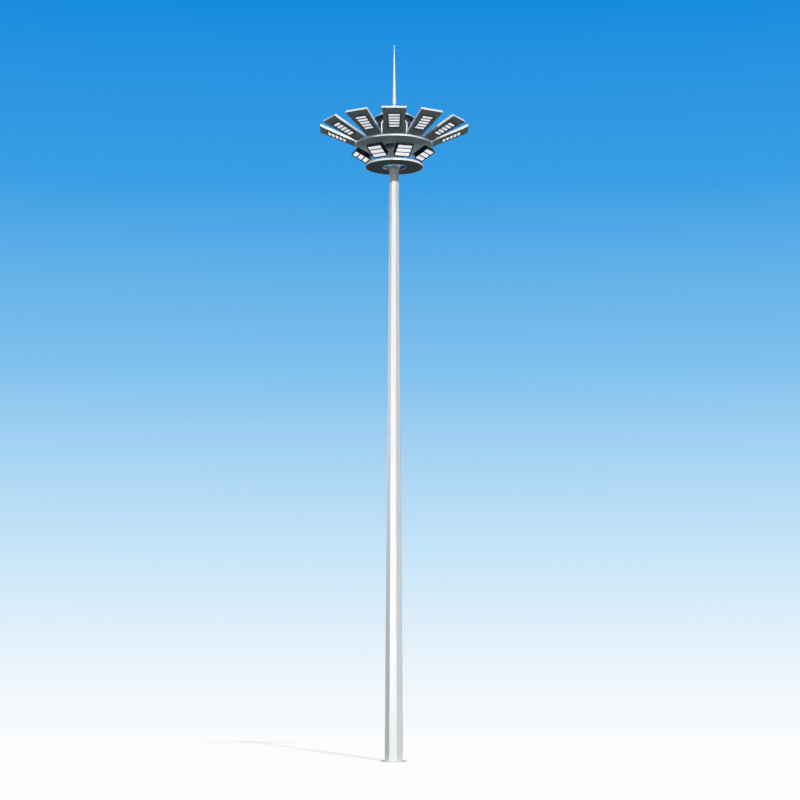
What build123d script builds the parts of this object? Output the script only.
from build123d import *
import math
import os

# High mast floodlight tower.  Millimetres, +Z up.
# The origin is the centre of the base flange's underside.  Azimuth 0 is the front, along -Y, and a growing
# azimuth turns towards +X.

# ---- clearances -------------------------------------------------------------------------------------------
FIT_GAP = 0.3              # between a part and the curved or sloping seat that carries it
PIVOT_CLEARANCE = 0.05     # radial, pivot stub in its yoke eye
CHEEK_CLEARANCE = 6.0      # between a floodlight's side and its yoke arm

# ---- shaft ------------------------------------------------------------------------------------------------
SHAFT_SIDES = 8
SHAFT_FACET_AZIMUTH = -6.0  # azimuth of one flat's outward normal
SHAFT_BASE_FLATS = 484.0    # across flats at the flange's underside
SHAFT_TAPER = 13.56 / 1000  # loss of across-flats size for each unit of height
SHAFT_WALL = 6.0
SHAFT_JOINT_HEIGHT = 9000.0

# ---- base flange ------------------------------------------------------------------------------------------
FLANGE_THICKNESS = 35.0
FLANGE_BORE = 300.0
FLANGE_EDGE = 45.0         # from an anchor hole's centre to the rim
ANCHOR_COUNT = 8
ANCHOR_STANDOFF = 63.0     # from a flat of the shaft's foot to an anchor hole's centre
ANCHOR_HOLE = 36.0

# ---- access door, on the rear flat ------------------------------------------------------------------------
DOOR_CENTRE_HEIGHT = 950.0
DOOR_OPENING_WIDTH = 110.0
DOOR_OPENING_HEIGHT = 600.0
DOOR_SURROUND_MARGIN = 26.0
DOOR_SURROUND_THICKNESS = 8.0
DOOR_COVER_LAP = 14.0
DOOR_COVER_THICKNESS = 4.0
DOOR_CUT = 30.0            # the cut through the wall reaches this far each way

# ---- ring decks -------------------------------------------------------------------------------------------
LOWER_RING_UNDERSIDE = 16620.0
LOWER_RING_RADIUS = 814.0
LOWER_RING_HOLE = 336.0
UPPER_RING_RADIUS = 1104.6
UPPER_RING_HOLE = 330.0
RING_SPACING = 617.0       # from underside to underside
RING_DEPTH = 52.0
RING_PLATE = 4.0
SOFFIT_RECESS = 2.0
SOFFIT_PLATE = 4.0

# ---- collars and arms in the ring holes -------------------------------------------------------------------
ARM_COUNT = 4
ARM_THICKNESS = 12.0
ARM_TOP = 44.0             # above the ring's underside
ARM_TIP_LOW = 8.0          # above the ring's underside, at the rim of the hole
ARM_DROP = 72.0            # below the ring's underside, at the shaft
COLLAR_WALL = 16.0

# ---- hangers between the rings ----------------------------------------------------------------------------
UPRIGHT_COUNT = 4          # hangers, and posts against the housing
UPRIGHT_AZIMUTH = 45.0
HANGER_DIAMETER = 48.0
HANGER_WALL = 4.0
HANGER_INSET = 124.0       # from the edge of the lower ring's hole to a hanger's centre

# ---- head housing, posts and hood -------------------------------------------------------------------------
HOUSING_RADIUS = 455.0
HOUSING_WALL = 3.0
HOUSING_HEIGHT = 751.0     # from the upper deck to the hood's lower edge
POST_DIAMETER = 42.0
POST_WALL = 3.0
POST_STANDOFF = 45.0       # from the housing's wall to a post's centre line
POST_KNEE_DROP = 210.0     # from the hood's lower edge down to the knee
POST_BITE = 40.0           # the bent length that is trimmed off at the housing's wall
POST_BEND = 60.0
HOOD_OVERHANG = 110.0
HOOD_RIM = 14.0
HOOD_RISE = 385.0          # of the cone, from its rim to its flat top
HOOD_PLATE = 4.0
HOOD_SOFFIT_RECESS = 6.0

# ---- lightning rod ----------------------------------------------------------------------------------------
ROD_LENGTH = 1757.0
ROD_FOOT_DIAMETER = 103.0
ROD_TIP_DIAMETER = 20.0
ROD_WALL = 4.0
ROD_FOOT_PLATE = 12.0      # the rod's own closed foot
ROD_SOLID_TOP = 300.0
SOCKET_NECK_DIAMETER = 48.0
SOCKET_FOOT_DIAMETER = 90.0
SOCKET_FOOT_THICKNESS = 8.0
SOCKET_HEIGHT = 34.0
SOCKET_SEAT_EDGE = 5.0     # the hood's flat top stands out this far round the socket's foot

# ---- wings ------------------------------------------------------------------------------------------------
WING_COUNT = 7
WING_PITCH = 30.0          # azimuth from one wing to the next
FIRST_WING_AZIMUTH = -90.0
WING_SLOPE = 23.5
WING_LENGTH = 1085.0
WING_ROOT_GAP = 7.4        # between the upper ring's rim and the middle of the wing's root
WING_ROOT_LIFT = 5.0       # underside of the wing's root above the upper ring's deck
WING_ROOT_WIDTH = 470.0
WING_TIP_WIDTH = 686.0
WING_DEPTH = 70.0
WING_PLATE = 3.0
WING_SOFFIT_PLATE = 4.0

# ---- wing root brackets -----------------------------------------------------------------------------------
BRACKET_SIDE_INSET = 45.0  # from the edge of the wing's root
BRACKET_TOP_INSET = 10.0   # below the wing's top
BRACKET_PLATE = 8.0
BRACKET_FOOT_LENGTH = 140.0

# ---- light panel under each wing --------------------------------------------------------------------------
PANEL_CENTRE = 561.0       # along the wing from its root
PANEL_ROWS = 5
PANEL_ROW_PITCH = 117.0
PANEL_ROW_DEPTH = 99.0
PANEL_INNER_WIDTH = 285.0
PANEL_OUTER_WIDTH = 335.0
PANEL_THICKNESS = 14.0
PANEL_FRAME_WIDTH = 22.0
PANEL_FRAME_THICKNESS = 18.0

# ---- lower floodlights ------------------------------------------------------------------------------------
FLOOD_COUNT = 4
FLOOD_PITCH = 45.0         # azimuth from one floodlight to the next
FIRST_FLOOD_AZIMUTH = -74.2
FLOOD_SLOPE = 27.6
FLOOD_LIGHT_LENGTH = 446.0
FLOOD_LIGHT_WIDTH = 415.0
FLOOD_FRAME = 24.0
FLOOD_LIP = 8.0            # the frame stands this far in front of the lenses
FLOOD_MODULES = 3
FLOOD_MODULE_GAP = 26.0
FLOOD_MODULE_THICKNESS = 30.0
FLOOD_TRAY = 45.0          # from the lens face to the back of the tray
FLOOD_BACK = 130.0         # from the lens face to the fin tips
FLOOD_FINS = 12
FLOOD_FIN_THICKNESS = 6.0
FLOOD_FIN_END_INSET = 20.0
PIVOT_BEHIND_FACE = 62.0
PIVOT_FROM_END = 40.0      # from the housing's inner end
PIVOT_INSET = 47.7         # from the lower ring's rim
PIVOT_LIFT = 130.8         # above the lower deck
PIVOT_DIAMETER = 20.0
PIVOT_STUB = 16.0          # how far a stub stands out of the yoke arm
STUB_BITE = 1.0            # how far a stub goes into the outermost fin

# ---- yokes ------------------------------------------------------------------------------------------------
YOKE_PLATE = 6.0
YOKE_EYE_RADIUS = 27.0
YOKE_FOOT_WIDTH = 65.0
YOKE_EDGE = 4.0            # between the strap's corners and the lower ring's rim

# ---- heights and radii that follow ------------------------------------------------------------------------
ANCHOR_CIRCLE = SHAFT_BASE_FLATS + 2 * ANCHOR_STANDOFF
FLANGE_DIAMETER = ANCHOR_CIRCLE + 2 * FLANGE_EDGE
LOWER_DECK = LOWER_RING_UNDERSIDE + RING_DEPTH
UPPER_RING_UNDERSIDE = LOWER_RING_UNDERSIDE + RING_SPACING
UPPER_DECK = UPPER_RING_UNDERSIDE + RING_DEPTH
HANGER_RADIUS = LOWER_RING_HOLE + HANGER_INSET
HOOD_UNDERSIDE = UPPER_DECK + HOUSING_HEIGHT
HOOD_SOFFIT_HEIGHT = HOOD_UNDERSIDE + HOOD_SOFFIT_RECESS
HOOD_RADIUS = HOUSING_RADIUS + HOOD_OVERHANG
POST_RADIUS = HOUSING_RADIUS + POST_STANDOFF
POST_KNEE_HEIGHT = HOOD_UNDERSIDE - POST_KNEE_DROP
POST_KNEE_RISE = POST_STANDOFF + POST_BITE
HOOD_FLAT_RADIUS = SOCKET_FOOT_DIAMETER / 2 + SOCKET_SEAT_EDGE
HOOD_SLOPE = math.atan2(HOOD_RISE, HOOD_RADIUS - HOOD_FLAT_RADIUS)
HOOD_TOP = HOOD_UNDERSIDE + HOOD_RIM + HOOD_RISE
ROD_FOOT_HEIGHT = HOOD_TOP + SOCKET_HEIGHT
WING_ROOT_RADIUS = UPPER_RING_RADIUS + WING_ROOT_GAP
WING_ROOT_HEIGHT = UPPER_DECK + WING_ROOT_LIFT
WING_FLARE = (WING_TIP_WIDTH - WING_ROOT_WIDTH) / 2 / WING_LENGTH
PANEL_LENGTH = (PANEL_ROWS - 1) * PANEL_ROW_PITCH + PANEL_ROW_DEPTH
PANEL_FLARE = (PANEL_OUTER_WIDTH - PANEL_INNER_WIDTH) / 2 / PANEL_LENGTH
FLOOD_LENGTH = FLOOD_LIGHT_LENGTH + 2 * FLOOD_FRAME
FLOOD_WIDTH = FLOOD_LIGHT_WIDTH + 2 * FLOOD_FRAME
YOKE_INNER = FLOOD_WIDTH / 2 + CHEEK_CLEARANCE
YOKE_OUTER = YOKE_INNER + YOKE_PLATE
PIVOT_ALONG = PIVOT_FROM_END - FLOOD_LENGTH / 2  # in the floodlight's own frame
PIVOT_RADIUS = LOWER_RING_RADIUS - PIVOT_INSET
PIVOT_HEIGHT = LOWER_DECK + PIVOT_LIFT

Z_UP = Vector(0, 0, 1)


def outward(azimuth):
    """Unit vector that points away from the mast at an azimuth in degrees."""
    turn = math.radians(azimuth)
    return Vector(math.sin(turn), -math.cos(turn), 0)


def radial_plane(azimuth, radius=0.0, height=0.0, slope=0.0):
    """Work frame: x runs outward and up by slope, y runs sideways, z is square to both."""
    out = outward(azimuth)
    tilt = math.radians(slope)
    along = out * math.cos(tilt) + Z_UP * math.sin(tilt)
    square = Z_UP * math.cos(tilt) - out * math.sin(tilt)
    return Plane(origin=out * radius + Z_UP * height, x_dir=along, z_dir=square)


def placed(shape, plane):
    return shape.moved(plane.location)


def block(x0, x1, y0, y1, z0, z1):
    """Box between two corners."""
    centre = Pos((x0 + x1) / 2, (y0 + y1) / 2, (z0 + z1) / 2)
    return centre * Box(x1 - x0, y1 - y0, z1 - z0)


def side_plate(outline, y0, y1):
    """Plate with an outline of (x, z) points, from y0 to y1."""
    corners = [(x, y0, z) for x, z in outline]
    face = Face(Wire.make_polygon(corners, close=True))
    return extrude(face, amount=y1 - y0, dir=(0, 1, 0))


def flat_plate(outline, z0, z1):
    """Plate with an outline of (x, y) points, from z0 to z1."""
    corners = [(x, y, z0) for x, y in outline]
    face = Face(Wire.make_polygon(corners, close=True))
    return extrude(face, amount=z1 - z0, dir=(0, 0, 1))


def upright(radius, z0, z1):
    """Round bar on the mast's axis."""
    return Pos(0, 0, (z0 + z1) / 2) * Cylinder(radius, z1 - z0)


def ring(outer, inner, z0, z1):
    return upright(outer, z0, z1) - upright(inner, z0, z1)


def one(shape):
    """The single solid of a shape."""
    solids = shape.solids()
    assert len(solids) == 1, f"expected one solid, got {len(solids)}"
    return solids[0]


def save(name, *shapes):
    """Write one node from one or more separate solids."""
    solids = [solid for shape in shapes for solid in shape.solids()]
    piece = solids[0] if len(solids) == 1 else Compound(children=solids)
    export_step(piece, f"parts/{name}.step")


# ---- shaft ------------------------------------------------------------------------------------------------
def shaft_flats(height):
    return SHAFT_BASE_FLATS - SHAFT_TAPER * height


def shaft_wire(height, grow):
    """Eight-sided outline of the shaft at a height, every flat moved outward by grow."""
    half_side = 180 / SHAFT_SIDES
    corner_radius = (shaft_flats(height) / 2 + grow) / math.cos(math.radians(half_side))
    corners = []
    for index in range(SHAFT_SIDES):
        azimuth = SHAFT_FACET_AZIMUTH + half_side + index * 2 * half_side
        corners.append(outward(azimuth) * corner_radius + Z_UP * height)
    return Wire.make_polygon(corners, close=True)


def shaft_body(z0, z1, grow=0.0):
    return Solid.make_loft([shaft_wire(z0, grow), shaft_wire(z1, grow)], ruled=True)


def shaft_tube(z0, z1):
    return shaft_body(z0, z1) - shaft_body(z0, z1, -SHAFT_WALL)


def door_plane():
    """On the rear flat: x up the slope of the flat, y sideways, z outward."""
    azimuth = SHAFT_FACET_AZIMUTH + 180
    out = outward(azimuth)
    lean = math.atan(SHAFT_TAPER / 2)
    up = Z_UP * math.cos(lean) - out * math.sin(lean)
    normal = out * math.cos(lean) + Z_UP * math.sin(lean)
    origin = out * (shaft_flats(DOOR_CENTRE_HEIGHT) / 2) + Z_UP * DOOR_CENTRE_HEIGHT
    return Plane(origin=origin, x_dir=up, z_dir=normal)


def door_slab(margin, z0, z1):
    """Round-cornered slab as large as the door opening and a margin, in the door's own frame."""
    length = DOOR_OPENING_HEIGHT + 2 * margin
    width = DOOR_OPENING_WIDTH + 2 * margin
    slab = block(-length / 2, length / 2, -width / 2, width / 2, z0, z1)
    corner = DOOR_OPENING_WIDTH / 4 + margin
    return fillet(slab.edges().filter_by(Axis.Z), corner)


def lower_shaft():
    tube = shaft_tube(FLANGE_THICKNESS, SHAFT_JOINT_HEIGHT)
    opening = placed(door_slab(0, -DOOR_CUT, DOOR_CUT), door_plane())
    return tube - opening


def upper_shaft():
    """The upper length, up to the hood's soffit, which it carries."""
    return shaft_tube(SHAFT_JOINT_HEIGHT, HOOD_SOFFIT_HEIGHT)


def door_surround():
    outer = door_slab(DOOR_SURROUND_MARGIN, 0, DOOR_SURROUND_THICKNESS)
    return placed(outer - door_slab(0, 0, DOOR_SURROUND_THICKNESS), door_plane())


def door_cover():
    top = DOOR_SURROUND_THICKNESS + DOOR_COVER_THICKNESS
    return placed(door_slab(DOOR_COVER_LAP, DOOR_SURROUND_THICKNESS, top), door_plane())


def base_flange():
    flange = ring(FLANGE_DIAMETER / 2, FLANGE_BORE / 2, 0, FLANGE_THICKNESS)
    for index in range(ANCHOR_COUNT):
        centre = outward(360 / ANCHOR_COUNT * index) * (ANCHOR_CIRCLE / 2)
        flange -= Pos(centre) * upright(ANCHOR_HOLE / 2, 0, FLANGE_THICKNESS)
    return flange


# ---- ring decks -------------------------------------------------------------------------------------------
def ring_deck(outer, hole, underside):
    """Top plate with an outer rim and an inner rim, open below."""
    top = underside + RING_DEPTH
    hollow = ring(outer - RING_PLATE, hole + RING_PLATE, underside, top - RING_PLATE)
    return ring(outer, hole, underside, top) - hollow


def ring_soffit(outer, hole, underside):
    low = underside + SOFFIT_RECESS
    edge = RING_PLATE + FIT_GAP
    return ring(outer - edge, hole + edge, low, low + SOFFIT_PLATE)


def collar_with_arms(hole, underside):
    """Collar round the shaft, with a tapered gusset arm to each quarter of a ring's hole."""
    top = underside + ARM_TOP
    low = underside - ARM_DROP
    half_side = math.radians(180 / SHAFT_SIDES)
    collar_radius = shaft_flats(low) / 2 / math.cos(half_side) + FIT_GAP + COLLAR_WALL
    outline = [
        (0, low),
        (collar_radius, low),
        (hole, underside + ARM_TIP_LOW),
        (hole, top),
        (0, top),
    ]
    arm = side_plate(outline, -ARM_THICKNESS / 2, ARM_THICKNESS / 2)
    collar = upright(collar_radius, low, top)
    for index in range(ARM_COUNT):
        collar += placed(arm, radial_plane(index * 360 / ARM_COUNT))
    collar &= upright(hole - FIT_GAP, low, top)
    return one(collar - shaft_body(low, top, FIT_GAP))


def upright_azimuth(index):
    return UPRIGHT_AZIMUTH + index * 360 / UPRIGHT_COUNT


def hangers():
    high = UPPER_RING_UNDERSIDE + SOFFIT_RECESS
    tubes = []
    for index in range(UPRIGHT_COUNT):
        tube = ring(HANGER_DIAMETER / 2, HANGER_DIAMETER / 2 - HANGER_WALL, LOWER_DECK, high)
        centre = outward(upright_azimuth(index)) * HANGER_RADIUS
        tubes.append(Pos(centre) * tube)
    return tubes


# ---- housing, posts, hood and rod -------------------------------------------------------------------------
def head_housing():
    return ring(HOUSING_RADIUS, HOUSING_RADIUS - HOUSING_WALL, UPPER_DECK, HOOD_SOFFIT_HEIGHT)


def kneed_post(azimuth):
    """Tube that stands on the deck and bends in to the housing's wall."""
    knee_in = POST_RADIUS - POST_KNEE_RISE
    path = FilletPolyline(
        (POST_RADIUS, 0, UPPER_DECK),
        (POST_RADIUS, 0, POST_KNEE_HEIGHT),
        (knee_in, 0, POST_KNEE_HEIGHT + POST_KNEE_RISE),
        radius=POST_BEND,
    )
    start = Plane(origin=(POST_RADIUS, 0, UPPER_DECK), z_dir=(0, 0, 1))
    outer = sweep(start * Circle(POST_DIAMETER / 2), path=path)
    inner = sweep(start * Circle(POST_DIAMETER / 2 - POST_WALL), path=path)
    tube = outer - inner
    tube -= upright(HOUSING_RADIUS + FIT_GAP, UPPER_DECK, HOOD_UNDERSIDE)
    return placed(one(tube), radial_plane(azimuth))


def posts():
    return [kneed_post(upright_azimuth(index)) for index in range(UPRIGHT_COUNT)]


def hood_solid(inset):
    """Rim, cone and small flat top of the hood, every surface moved inward by inset."""
    cone_drop = inset / math.cos(HOOD_SLOPE)
    rim_top = HOOD_UNDERSIDE + HOOD_RIM + inset * math.tan(HOOD_SLOPE) - cone_drop
    flat_radius = HOOD_FLAT_RADIUS - (cone_drop - inset) / math.tan(HOOD_SLOPE)
    outline = [
        (0, HOOD_UNDERSIDE),
        (HOOD_RADIUS - inset, HOOD_UNDERSIDE),
        (HOOD_RADIUS - inset, rim_top),
        (flat_radius, HOOD_TOP - inset),
        (0, HOOD_TOP - inset),
    ]
    profile = Face(Wire.make_polygon([(x, 0, z) for x, z in outline], close=True))
    return revolve(profile, axis=Axis.Z)


def rain_hood():
    return hood_solid(0) - hood_solid(HOOD_PLATE)


def hood_soffit():
    edge = HOOD_RADIUS - HOOD_PLATE - FIT_GAP
    return upright(edge, HOOD_SOFFIT_HEIGHT, HOOD_SOFFIT_HEIGHT + HOOD_PLATE)


def rod_socket():
    """Slim neck on a round foot, which carries the lightning rod on the hood's flat top."""
    foot = upright(SOCKET_FOOT_DIAMETER / 2, HOOD_TOP, HOOD_TOP + SOCKET_FOOT_THICKNESS)
    return foot + upright(SOCKET_NECK_DIAMETER / 2, HOOD_TOP, ROD_FOOT_HEIGHT)


def lightning_rod():
    """Tapered tube with a closed foot and a solid, rounded tip."""
    foot = ROD_FOOT_HEIGHT
    tip_radius = ROD_TIP_DIAMETER / 2
    shoulder = foot + ROD_LENGTH - tip_radius
    foot_radius = ROD_FOOT_DIAMETER / 2
    outer = Pos(0, 0, (foot + shoulder) / 2) * Cone(foot_radius, tip_radius, shoulder - foot)
    outer += Pos(0, 0, shoulder) * Sphere(tip_radius)
    shrink = (foot_radius - tip_radius) / (shoulder - foot)
    bore_low = foot + ROD_FOOT_PLATE
    bore_top = foot + ROD_LENGTH - ROD_SOLID_TOP
    low_radius = foot_radius - shrink * ROD_FOOT_PLATE - ROD_WALL
    top_radius = foot_radius - shrink * (bore_top - foot) - ROD_WALL
    bore = Pos(0, 0, (bore_low + bore_top) / 2) * Cone(low_radius, top_radius, bore_top - bore_low)
    return outer - bore


# ---- wings ------------------------------------------------------------------------------------------------
def wing_azimuth(index):
    return FIRST_WING_AZIMUTH + index * WING_PITCH


def wing_plane(index):
    return radial_plane(wing_azimuth(index), WING_ROOT_RADIUS, WING_ROOT_HEIGHT, WING_SLOPE)


def wing_outline(inset):
    """Trapezium of the wing, each edge moved inward by inset."""
    side = inset * math.sqrt(1 + WING_FLARE**2)
    root = WING_ROOT_WIDTH / 2 + WING_FLARE * inset - side
    tip = WING_TIP_WIDTH / 2 - WING_FLARE * inset - side
    far = WING_LENGTH - inset
    return [(inset, -root), (far, -tip), (far, tip), (inset, root)]


def wing_shell():
    outside = flat_plate(wing_outline(0), WING_SOFFIT_PLATE, WING_DEPTH)
    inside = flat_plate(wing_outline(WING_PLATE), WING_SOFFIT_PLATE, WING_DEPTH - WING_PLATE)
    return outside - inside


def wing_soffit():
    return flat_plate(wing_outline(0), 0, WING_SOFFIT_PLATE)


def wing_bracket():
    """Bolted foot on the deck, two webs and a riser against the wing's root, with x outward and z up."""
    tilt = math.radians(WING_SLOPE)
    foot_outer = UPPER_RING_RADIUS
    foot_inner = foot_outer - BRACKET_FOOT_LENGTH
    half = WING_ROOT_WIDTH / 2 - BRACKET_SIDE_INSET
    foot_top = UPPER_DECK + BRACKET_PLATE

    def at(x, z):
        """Point of the wing's own frame as (radius, height)."""
        radius = WING_ROOT_RADIUS + x * math.cos(tilt) - z * math.sin(tilt)
        height = WING_ROOT_HEIGHT + x * math.sin(tilt) + z * math.cos(tilt)
        return radius, height

    riser_low = WING_SOFFIT_PLATE
    riser_high = WING_DEPTH - BRACKET_TOP_INSET
    riser = [
        at(0, riser_low),
        at(0, riser_high),
        at(-BRACKET_PLATE, riser_high),
        at(-BRACKET_PLATE, riser_low),
    ]
    web = [
        (foot_inner + BRACKET_PLATE, foot_top),
        at(-BRACKET_PLATE, riser_high),
        at(-BRACKET_PLATE, riser_low + BRACKET_PLATE),
        (foot_outer - BRACKET_PLATE, UPPER_DECK + BRACKET_PLATE / 2),
        (foot_inner + BRACKET_PLATE, UPPER_DECK + BRACKET_PLATE / 2),
    ]
    bracket = block(foot_inner, foot_outer, -half, half, UPPER_DECK, foot_top)
    bracket &= upright(UPPER_RING_RADIUS, UPPER_DECK, foot_top)
    bracket += side_plate(riser, -half, half)
    bracket += side_plate(web, -half, -half + BRACKET_PLATE)
    bracket += side_plate(web, half - BRACKET_PLATE, half)
    return one(bracket)


# ---- light panel under a wing, in the wing's frame --------------------------------------------------------
def panel_outline(x0, x1, grow):
    """Trapezium of the panel between two lengths from its inner end, grown sideways."""
    start = PANEL_CENTRE - PANEL_LENGTH / 2
    low = PANEL_INNER_WIDTH / 2 + PANEL_FLARE * x0 + grow
    high = PANEL_INNER_WIDTH / 2 + PANEL_FLARE * x1 + grow
    return [(start + x0, -low), (start + x1, -high), (start + x1, high), (start + x0, low)]


def panel_frame():
    """Open frame round the bars."""
    margin = PANEL_FRAME_WIDTH
    outer = panel_outline(-margin, PANEL_LENGTH + margin, margin)
    inner = panel_outline(-FIT_GAP, PANEL_LENGTH + FIT_GAP, FIT_GAP)
    return flat_plate(outer, -PANEL_FRAME_THICKNESS, 0) - flat_plate(inner, -PANEL_FRAME_THICKNESS, 0)


def panel_modules():
    bars = []
    for row in range(PANEL_ROWS):
        start = row * PANEL_ROW_PITCH
        outline = panel_outline(start, start + PANEL_ROW_DEPTH, 0)
        bars.append(flat_plate(outline, -PANEL_THICKNESS, 0))
    return bars


# ---- lower floodlights ------------------------------------------------------------------------------------
# A floodlight's own frame has its origin at the middle of the lens face, x along the slope and z to the back.
def flood_azimuth(index):
    return FIRST_FLOOD_AZIMUTH + index * FLOOD_PITCH


def flood_plane(index):
    tilt = math.radians(FLOOD_SLOPE)
    radius = PIVOT_RADIUS - PIVOT_ALONG * math.cos(tilt) + PIVOT_BEHIND_FACE * math.sin(tilt)
    height = PIVOT_HEIGHT - PIVOT_ALONG * math.sin(tilt) - PIVOT_BEHIND_FACE * math.cos(tilt)
    return radial_plane(flood_azimuth(index), radius, height, FLOOD_SLOPE)


def flood_housing():
    """Framed tray, a comb of fins behind it and a pivot stub on each side."""
    long_half = FLOOD_LENGTH / 2
    wide_half = FLOOD_WIDTH / 2
    tray = block(-long_half, long_half, -wide_half, wide_half, -FLOOD_LIP, FLOOD_TRAY)
    tray -= block(
        -FLOOD_LIGHT_LENGTH / 2,
        FLOOD_LIGHT_LENGTH / 2,
        -FLOOD_LIGHT_WIDTH / 2,
        FLOOD_LIGHT_WIDTH / 2,
        -FLOOD_LIP,
        FLOOD_MODULE_THICKNESS,
    )
    fin_half = long_half - FLOOD_FIN_END_INSET
    pitch = (FLOOD_WIDTH - FLOOD_FIN_THICKNESS) / (FLOOD_FINS - 1)
    for index in range(FLOOD_FINS):
        side = -wide_half + index * pitch
        tray += block(-fin_half, fin_half, side, side + FLOOD_FIN_THICKNESS, FLOOD_TRAY, FLOOD_BACK)
    stub_end = YOKE_OUTER + PIVOT_STUB
    centre = Pos(PIVOT_ALONG, 0, PIVOT_BEHIND_FACE) * Rot(90, 0, 0)
    stub = centre * Cylinder(PIVOT_DIAMETER / 2, 2 * stub_end)
    stub -= centre * Cylinder(PIVOT_DIAMETER, 2 * (wide_half - STUB_BITE))
    return one(tray + stub)


def flood_modules():
    bars = []
    gaps = (FLOOD_MODULES - 1) * FLOOD_MODULE_GAP
    depth = (FLOOD_LIGHT_LENGTH - gaps - 2 * FIT_GAP) / FLOOD_MODULES
    half = FLOOD_LIGHT_WIDTH / 2 - FIT_GAP
    for row in range(FLOOD_MODULES):
        start = -FLOOD_LIGHT_LENGTH / 2 + FIT_GAP + row * (depth + FLOOD_MODULE_GAP)
        bars.append(block(start, start + depth, -half, half, 0, FLOOD_MODULE_THICKNESS))
    return bars


def yoke():
    """Foot strap on the lower deck and an arm up to each pivot, at azimuth 0 with x outward and z up."""
    strap_top = LOWER_DECK + YOKE_PLATE
    foot_outer = math.sqrt((LOWER_RING_RADIUS - YOKE_EDGE) ** 2 - YOKE_OUTER**2)
    foot_inner = foot_outer - YOKE_FOOT_WIDTH
    result = block(foot_inner, foot_outer, -YOKE_OUTER, YOKE_OUTER, LOWER_DECK, strap_top)
    outline = [
        (foot_inner, LOWER_DECK),
        (foot_outer, LOWER_DECK),
        (PIVOT_RADIUS + YOKE_EYE_RADIUS, PIVOT_HEIGHT),
        (PIVOT_RADIUS - YOKE_EYE_RADIUS, PIVOT_HEIGHT),
    ]
    for side in (-1, 1):
        near = min(side * YOKE_INNER, side * YOKE_OUTER)
        arm = side_plate(outline, near, near + YOKE_PLATE)
        middle = Pos(PIVOT_RADIUS, near + YOKE_PLATE / 2, PIVOT_HEIGHT) * Rot(90, 0, 0)
        arm += middle * Cylinder(YOKE_EYE_RADIUS, YOKE_PLATE)
        arm -= middle * Cylinder(PIVOT_DIAMETER / 2 + PIVOT_CLEARANCE, YOKE_PLATE)
        result += arm
    return one(result)


# ---- write the pieces -------------------------------------------------------------------------------------
os.makedirs("parts", exist_ok=True)

save("base_flange", base_flange())
save("shaft_lower", lower_shaft())
save("shaft_upper", upper_shaft())
save("door_surround", door_surround())
save("door_cover", door_cover())

save("lower_ring_deck", ring_deck(LOWER_RING_RADIUS, LOWER_RING_HOLE, LOWER_RING_UNDERSIDE))
save("lower_ring_soffit", ring_soffit(LOWER_RING_RADIUS, LOWER_RING_HOLE, LOWER_RING_UNDERSIDE))
save("lower_ring_arms", collar_with_arms(LOWER_RING_HOLE, LOWER_RING_UNDERSIDE))
save("upper_ring_deck", ring_deck(UPPER_RING_RADIUS, UPPER_RING_HOLE, UPPER_RING_UNDERSIDE))
save("upper_ring_soffit", ring_soffit(UPPER_RING_RADIUS, UPPER_RING_HOLE, UPPER_RING_UNDERSIDE))
save("upper_ring_arms", collar_with_arms(UPPER_RING_HOLE, UPPER_RING_UNDERSIDE))
save("ring_hangers", *hangers())

save("head_housing", head_housing())
save("housing_posts", *posts())
save("rain_hood", rain_hood())
save("hood_soffit", hood_soffit())
save("rod_socket", rod_socket())
save("lightning_rod", lightning_rod())

shell = wing_shell()
soffit = wing_soffit()
bracket = wing_bracket()
frame = panel_frame()
modules = panel_modules()
wings = range(WING_COUNT)
for index in wings:
    save(f"wing_{index + 1}", placed(shell, wing_plane(index)))
save("wing_soffits", *[placed(soffit, wing_plane(index)) for index in wings])
save("wing_brackets", *[placed(bracket, radial_plane(wing_azimuth(index))) for index in wings])
save("wing_panel_frames", *[placed(frame, wing_plane(index)) for index in wings])
save("wing_panel_modules", *[placed(bar, wing_plane(index)) for index in wings for bar in modules])

housing = flood_housing()
lights = flood_modules()
yoke_piece = yoke()
floods = range(FLOOD_COUNT)
for index in floods:
    save(f"flood_housing_{index + 1}", placed(housing, flood_plane(index)))
    save(f"flood_modules_{index + 1}", *[placed(bar, flood_plane(index)) for bar in lights])
save("flood_yokes", *[placed(yoke_piece, radial_plane(flood_azimuth(index))) for index in floods])
